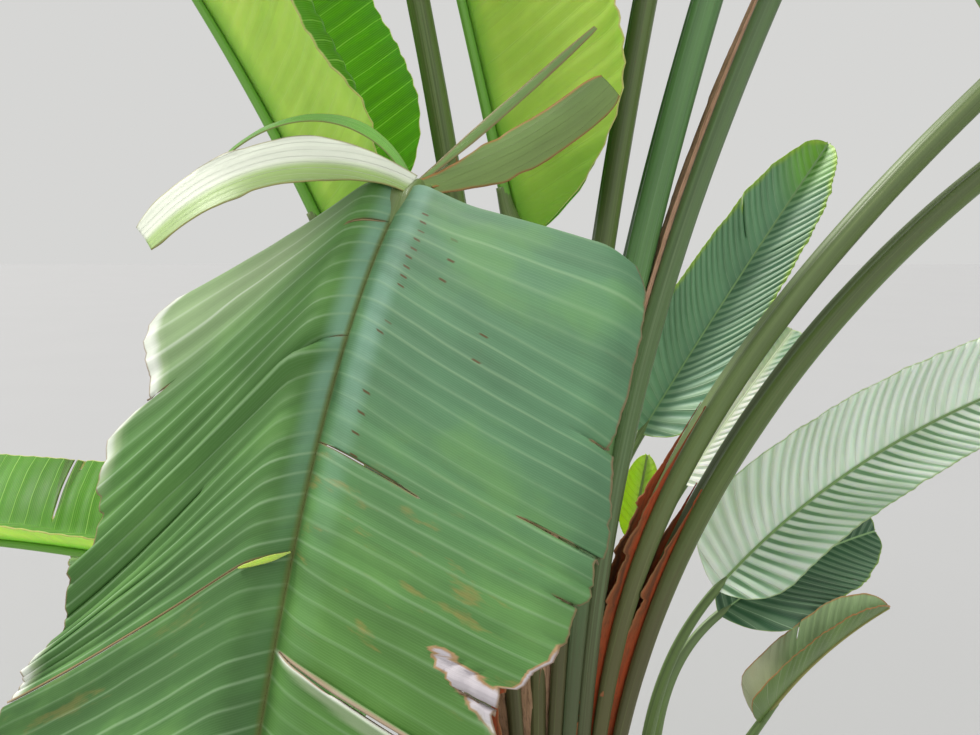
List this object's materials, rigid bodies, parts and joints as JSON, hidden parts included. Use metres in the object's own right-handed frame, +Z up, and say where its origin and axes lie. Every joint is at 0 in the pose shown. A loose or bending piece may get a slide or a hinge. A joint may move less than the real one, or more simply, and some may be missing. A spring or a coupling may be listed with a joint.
{
  "type": "travellers palm",
  "caption": "Young travellers palm: a short stem, a flat fan of long-stalked paddle leaves, one old leaf hanging forward, and small sucker leaves behind.",
  "frame": {"origin": "middle of the flat cut under the stem, at ground level", "axes": "+Z up, the fan of leaves spreads along X, -Y towards the old leaf that hangs forward"},
  "size_m": [4.1087, 1.7055, 3.7461],
  "materials": {
    "stem": "fibrous, with rings left by old sheaths",
    "stalk_olive": "smooth stalk, slightly waxy",
    "stalk_blue": "smooth stalk, slightly waxy",
    "stalk_brown": "smooth stalk, slightly waxy",
    "blade_bright": "thin leaf, waxy, with close cross veins",
    "blade_green": "thin leaf, waxy, with close cross veins",
    "blade_front": "thin leaf, waxy, with close cross veins",
    "blade_dark": "thin leaf, waxy, with close cross veins",
    "blade_pale": "thin leaf, waxy, with close cross veins",
    "blade_olive": "thin leaf, waxy, with close cross veins"
  },
  "bodies": {
    "root": {"blade_front": "blade_front", "blade_left_1": "blade_bright", "blade_left_3": "blade_bright", "blade_left_4": "blade_green", "blade_left_5": "blade_bright", "blade_right_1": "blade_green", "blade_right_2": "blade_green", "blade_right_3": "blade_green", "blade_right_4": "blade_green", "blade_right_5": "blade_green", "blade_sucker_left_1": "blade_dark", "blade_sucker_left_2": "blade_green", "blade_sucker_left_3": "blade_olive", "blade_sucker_right_1": "blade_dark", "blade_sucker_right_2": "blade_bright", "blade_sucker_right_3": "blade_pale", "blade_sucker_right_4": "blade_dark", "blade_sucker_right_5": "blade_olive", "blade_sucker_right_6": "blade_bright", "petiole_front": "stalk_olive", "petiole_left_1": "stalk_olive", "petiole_left_3": "stalk_olive", "petiole_left_4": "stalk_brown", "petiole_left_5": "stalk_olive", "petiole_right_1": "stalk_olive", "petiole_right_2": "stalk_olive", "petiole_right_3": "stalk_blue", "petiole_right_4": "stalk_blue", "petiole_right_5": "stalk_brown", "petiole_sucker_left_1": "stalk_olive", "petiole_sucker_left_2": "stalk_olive", "petiole_sucker_left_3": "stalk_olive", "petiole_sucker_right_1": "stalk_olive", "petiole_sucker_right_2": "stalk_olive", "petiole_sucker_right_3": "stalk_olive", "petiole_sucker_right_4": "stalk_olive", "petiole_sucker_right_5": "stalk_olive", "petiole_sucker_right_6": "stalk_olive", "stem": "stem"}
  },
  "joints": []
}
